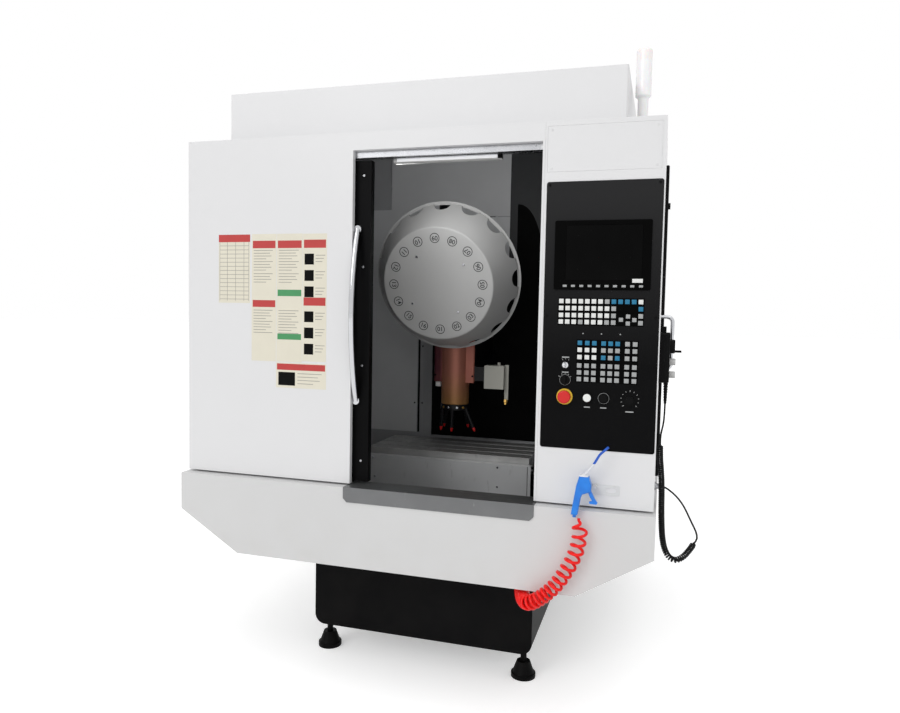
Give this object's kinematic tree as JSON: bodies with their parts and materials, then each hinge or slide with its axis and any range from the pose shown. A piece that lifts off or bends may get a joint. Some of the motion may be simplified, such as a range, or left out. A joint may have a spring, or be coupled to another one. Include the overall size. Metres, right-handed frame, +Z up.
{
  "type": "cnc milling machine",
  "caption": "Enclosed vertical milling and drilling centre with a sliding front door, a tilted drum tool magazine, a cross table, a control console and a rear electrical cabinet.",
  "frame": {"origin": "on the floor, in the middle of the four levelling feet", "axes": "+X to the operator's right, +Y into the machine, away from the operator, +Z up"},
  "size_m": [1.9216, 2.2085, 2.363],
  "materials": {
    "black_paint": "satin black enamel",
    "white_paint": "satin white powder coat",
    "hood_paint": "satin light grey powder coat",
    "grey_paint": "satin grey paint",
    "sheet_steel": "plain sheet steel",
    "machined_steel": "ground steel",
    "casting": "painted casting",
    "table_iron": "machined iron",
    "head_casting": "brownish machined casting",
    "housing_steel": "turned steel with a warm sheen",
    "motor_paint": "matt black paint",
    "chrome": "bright chrome",
    "clear_pane": "clear sheet",
    "screen_glass": "dark screen",
    "black_plastic": "moulded black",
    "grey_plastic": "moulded light grey",
    "panel_plastic": "black front film",
    "white_plastic": "milky white",
    "red_plastic": "bright red",
    "blue_plastic": "moulded blue",
    "hose_red": "red elastic tube",
    "cable_black": "black sheath"
  },
  "bodies": {
    "machine": {"bed": "black_paint", "levelling_feet": "black_paint", "lower_shell": "white_paint", "sill_plate": "sheet_steel", "front_frame": "white_paint", "console_housing": "white_paint", "console_cover": "white_paint", "control_panel": "panel_plastic", "display_unit": "black_plastic", "display_glass": "screen_glass", "key_pads": "grey_plastic", "switch_bodies": "black_plastic", "cabin_panels": "white_paint", "side_cover": "black_plastic", "roof": "white_paint", "hood": "hood_paint", "liner": "sheet_steel", "work_light": "grey_plastic", "door_track": "machined_steel", "guide_rails": "machined_steel", "column": "casting", "axis_motors": "motor_paint", "magazine_bracket": "casting", "electrical_cabinet": "white_paint", "stack_light": "white_plastic", "pendant_hanger": "chrome", "pendant_body": "black_plastic", "pendant_cable": "cable_black", "pendant_coil": "cable_black", "couplings": "machined_steel", "gun_hook": "sheet_steel", "gun_body": "blue_plastic", "air_hose": "hose_red"},
    "door": {"door_frame": "black_paint", "door_pane": "clear_pane", "door_handle": "chrome"},
    "saddle": {"saddle": "casting", "saddle_cover": "grey_paint"},
    "table": {"table": "table_iron"},
    "x_screw": {"x_screw": "machined_steel"},
    "y_screw": {"y_screw": "machined_steel"},
    "z_screw": {"z_screw": "machined_steel"},
    "head": {"spindle_head": "head_casting", "spindle_housing": "housing_steel", "spindle_motor": "motor_paint", "coolant_nozzles": "black_plastic"},
    "spindle": {"spindle": "machined_steel"},
    "magazine": {"magazine_cover": "grey_plastic", "tool_carrier": "machined_steel"},
    "cabinet_door": {"cabinet_door": "white_paint"},
    "emergency_stop": {"emergency_stop": "red_plastic"},
    "start_button": {"start_button": "white_plastic"},
    "hold_button": {"hold_button": "black_plastic"},
    "key_switch": {"key_switch": "chrome"},
    "mode_selector": {"mode_selector": "black_plastic"},
    "override_knob": {"override_knob": "black_plastic"},
    "gun_trigger": {"gun_trigger": "blue_plastic"},
    "pendant_wheel": {"pendant_wheel": "black_plastic"},
    "pendant_axis_knob": {"pendant_axis_knob": "grey_plastic"},
    "pendant_step_knob": {"pendant_step_knob": "grey_plastic"}
  },
  "joints": [
    {"name": "door_slide", "type": "slide", "parent": "machine", "child": "door", "axis": [1, 0, 0], "range_m": [0, 0.624]},
    {"name": "y_travel", "type": "slide", "parent": "machine", "child": "saddle", "axis": [0, 1, 0], "range_m": [-0.118, 0.182]},
    {"name": "x_travel", "type": "slide", "parent": "saddle", "child": "table", "axis": [1, 0, 0], "range_m": [-0.265, 0.235]},
    {"name": "z_travel", "type": "slide", "parent": "machine", "child": "head", "axis": [0, 0, 1], "range_m": [-0.027, 0.273]},
    {"name": "x_screw_turn", "type": "hinge", "parent": "saddle", "child": "x_screw", "pos_m": [0, -0.369, 0.712], "axis": [1, 0, 0], "continuous": true},
    {"name": "y_screw_turn", "type": "hinge", "parent": "machine", "child": "y_screw", "pos_m": [0, -0.369, 0.605], "axis": [0, 1, 0], "continuous": true},
    {"name": "z_screw_turn", "type": "hinge", "parent": "machine", "child": "z_screw", "pos_m": [-0.008, 0.073, 1.4], "axis": [0, 0, 1], "continuous": true},
    {"name": "spindle_turn", "type": "hinge", "parent": "head", "child": "spindle", "pos_m": [-0.008, -0.337, 1.2], "axis": [0, 0, 1], "continuous": true},
    {"name": "magazine_turn", "type": "hinge", "parent": "machine", "child": "magazine", "pos_m": [-0.008, -0.491, 1.567], "axis": [0, -0.9659, -0.2588], "continuous": true},
    {"name": "cabinet_door_hinge", "type": "hinge", "parent": "machine", "child": "cabinet_door", "pos_m": [-0.533, 1.0145, 1.3], "axis": [0, 0, 1], "range_deg": [0, 110]},
    {"name": "stop_press", "type": "slide", "parent": "machine", "child": "emergency_stop", "axis": [0, 1, 0], "range_m": [0, 0.006]},
    {"name": "start_press", "type": "slide", "parent": "machine", "child": "start_button", "axis": [0, 1, 0], "range_m": [0, 0.003], "stiffness_N_per_m": 500, "springref_m": -0.002},
    {"name": "hold_press", "type": "slide", "parent": "machine", "child": "hold_button", "axis": [0, 1, 0], "range_m": [0, 0.003], "stiffness_N_per_m": 500, "springref_m": -0.002},
    {"name": "key_turn", "type": "hinge", "parent": "machine", "child": "key_switch", "pos_m": [0.585, -1.0765, 1.246], "axis": [0, 1, 0], "range_deg": [0, 90]},
    {"name": "selector_turn", "type": "hinge", "parent": "machine", "child": "mode_selector", "pos_m": [0.585, -1.0765, 1.196], "axis": [0, 1, 0], "range_deg": [-45, 45]},
    {"name": "override_turn", "type": "hinge", "parent": "machine", "child": "override_knob", "pos_m": [0.797, -1.0765, 1.14], "axis": [0, 1, 0], "range_deg": [-150, 150]},
    {"name": "trigger_pull", "type": "hinge", "parent": "machine", "child": "gun_trigger", "pos_m": [0.679, -1.135, 0.85], "axis": [0, 1, 0], "range_deg": [0, 20], "stiffness_Nm_per_rad": 0.4, "springref_deg": -5.73},
    {"name": "pendant_wheel_turn", "type": "hinge", "parent": "machine", "child": "pendant_wheel", "pos_m": [0.92, -0.975, 1.314], "axis": [1, 0, 0], "continuous": true},
    {"name": "axis_knob_turn", "type": "hinge", "parent": "machine", "child": "pendant_axis_knob", "pos_m": [0.92, -0.975, 1.263], "axis": [1, 0, 0], "range_deg": [-60, 60]},
    {"name": "step_knob_turn", "type": "hinge", "parent": "machine", "child": "pendant_step_knob", "pos_m": [0.92, -0.975, 1.22], "axis": [1, 0, 0], "range_deg": [-60, 60]}
  ],
  "couplings": [
    {"joint": "x_screw_turn", "follows": "x_travel", "rad_per_m": -392.7},
    {"joint": "y_screw_turn", "follows": "y_travel", "rad_per_m": -392.7},
    {"joint": "z_screw_turn", "follows": "z_travel", "rad_per_m": -392.7}
  ]
}
